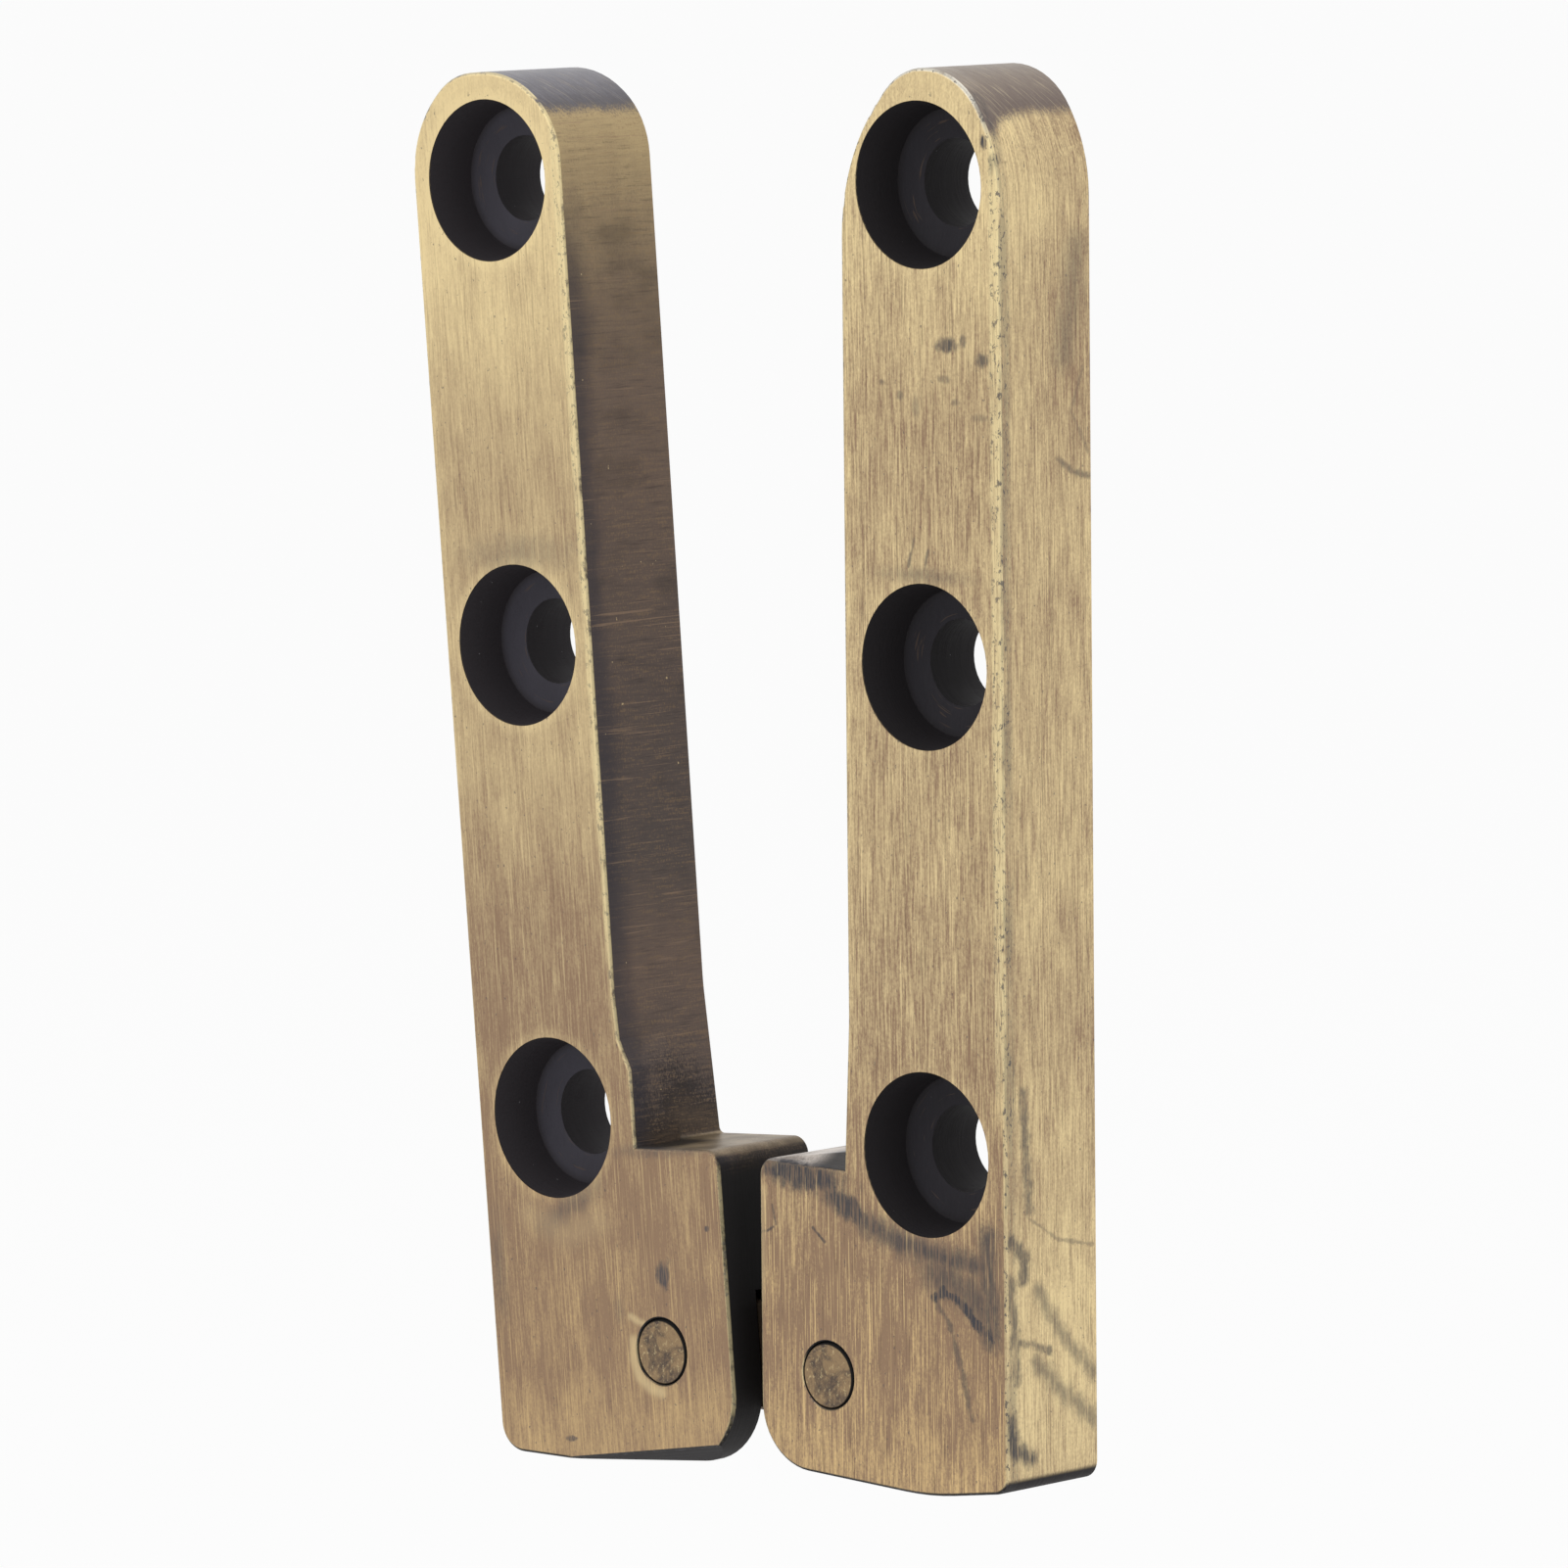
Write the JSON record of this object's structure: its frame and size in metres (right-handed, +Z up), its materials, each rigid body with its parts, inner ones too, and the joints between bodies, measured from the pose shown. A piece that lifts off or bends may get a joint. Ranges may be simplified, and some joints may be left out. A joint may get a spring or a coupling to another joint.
{
  "type": "counter flap hinge",
  "caption": "Thick L-shaped leaves with round tops, counterbored screw holes and heels joined by a hidden link on flush pins, folded shut.",
  "frame": {"origin": "where the axis of the counter leaf's lowest screw hole meets the leaf's back face", "axes": "+Z up along the counter leaf's arm, away from the pivots; +Y out of the backs, into the wood that the leaves are screwed to; the counterbored fronts face -Y; the flap leaf lies towards -X"},
  "size_m": [0.0577, 0.0098, 0.1032],
  "materials": {
    "leaf_brass": "brushed, patinated",
    "pin_brass": "worn, patinated",
    "link_brass": "dull, patinated"
  },
  "bodies": {
    "counter_side": {"counter_leaf": "leaf_brass", "counter_pin": "pin_brass"},
    "link_body": {"link": "link_brass"},
    "flap_side": {"flap_leaf": "leaf_brass", "flap_pin": "pin_brass"}
  },
  "joints": [
    {"name": "counter_pivot", "type": "hinge", "parent": "counter_side", "child": "link_body", "pos_m": [-0.00965, -0.0049, -0.0169], "axis": [0, -1, 0], "range_deg": [0, 90]},
    {"name": "flap_pivot", "type": "hinge", "parent": "link_body", "child": "flap_side", "pos_m": [-0.02614, -0.0049, -0.0169], "axis": [0, -1, 0], "range_deg": [-4.58, 85.42]}
  ]
}
